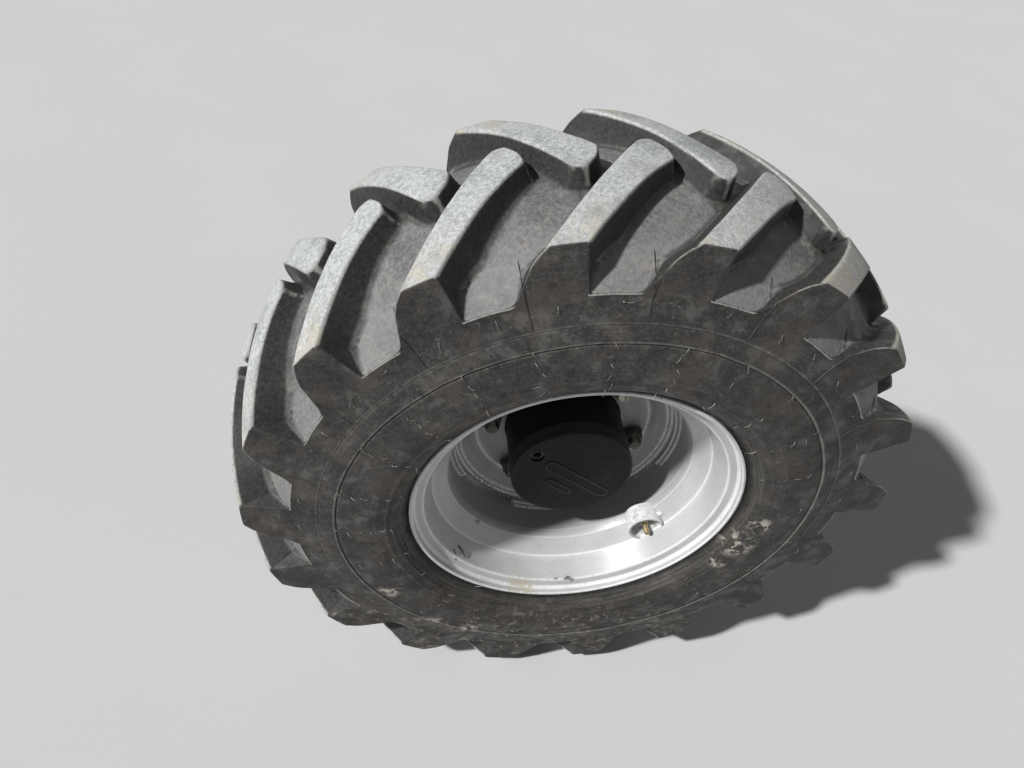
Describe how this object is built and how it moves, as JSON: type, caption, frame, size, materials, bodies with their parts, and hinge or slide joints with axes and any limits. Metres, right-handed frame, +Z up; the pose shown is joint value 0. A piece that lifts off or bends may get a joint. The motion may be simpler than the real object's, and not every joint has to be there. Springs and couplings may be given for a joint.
{
  "type": "wheel end of a site dumper",
  "caption": "Wheel end of a site dumper: lugged tyre on a welded steel wheel, turning on a final-drive hub and axle arm with a bolting flange.",
  "frame": {"origin": "centre of the arm's bolting face, on the wheel axis", "axes": "+Y along the wheel axis, inboard; -Y is the outboard face; +Z up; +X forward"},
  "size_m": [0.862, 0.503, 0.862],
  "materials": {
    "tyre": "worn black rubber with dust and mould lines",
    "rim_paint": "silver-grey paint, slightly glossy, dirt in the corners",
    "hub_paint": "black paint, semi-matt",
    "black_steel": "blackened steel",
    "zinc_steel": "yellowed zinc plating",
    "bare_steel": "machined steel, oiled",
    "valve_brass": "dull brass",
    "seal_rubber": "black rubber",
    "bush_bronze": "bronze"
  },
  "bodies": {
    "axle_end": {"axle_arm": "hub_paint", "spindle_seal": "seal_rubber", "shaft_seal": "seal_rubber", "shaft_bush": "bush_bronze"},
    "wheel": {"tyre": "tyre", "rim_barrel": "rim_paint", "rim_disc": "rim_paint", "valve_guard": "rim_paint", "valve_stem": "valve_brass", "wheel_studs": "zinc_steel", "wheel_nuts": "black_steel", "hub_drum": "hub_paint", "planet_housing": "hub_paint", "hub_cover": "hub_paint", "filler_plug": "black_steel"},
    "half_shaft": {"half_shaft": "bare_steel"}
  },
  "joints": [
    {"name": "wheel_spin", "type": "hinge", "parent": "axle_end", "child": "wheel", "pos_m": [0, -0.298, 0], "axis": [0, 1, 0], "continuous": true},
    {"name": "half_shaft_spin", "type": "hinge", "parent": "axle_end", "child": "half_shaft", "pos_m": [0, -0.15, 0], "axis": [0, 1, 0], "continuous": true}
  ],
  "couplings": [
    {"joint": "half_shaft_spin", "follows": "wheel_spin", "ratio": 4.2}
  ]
}
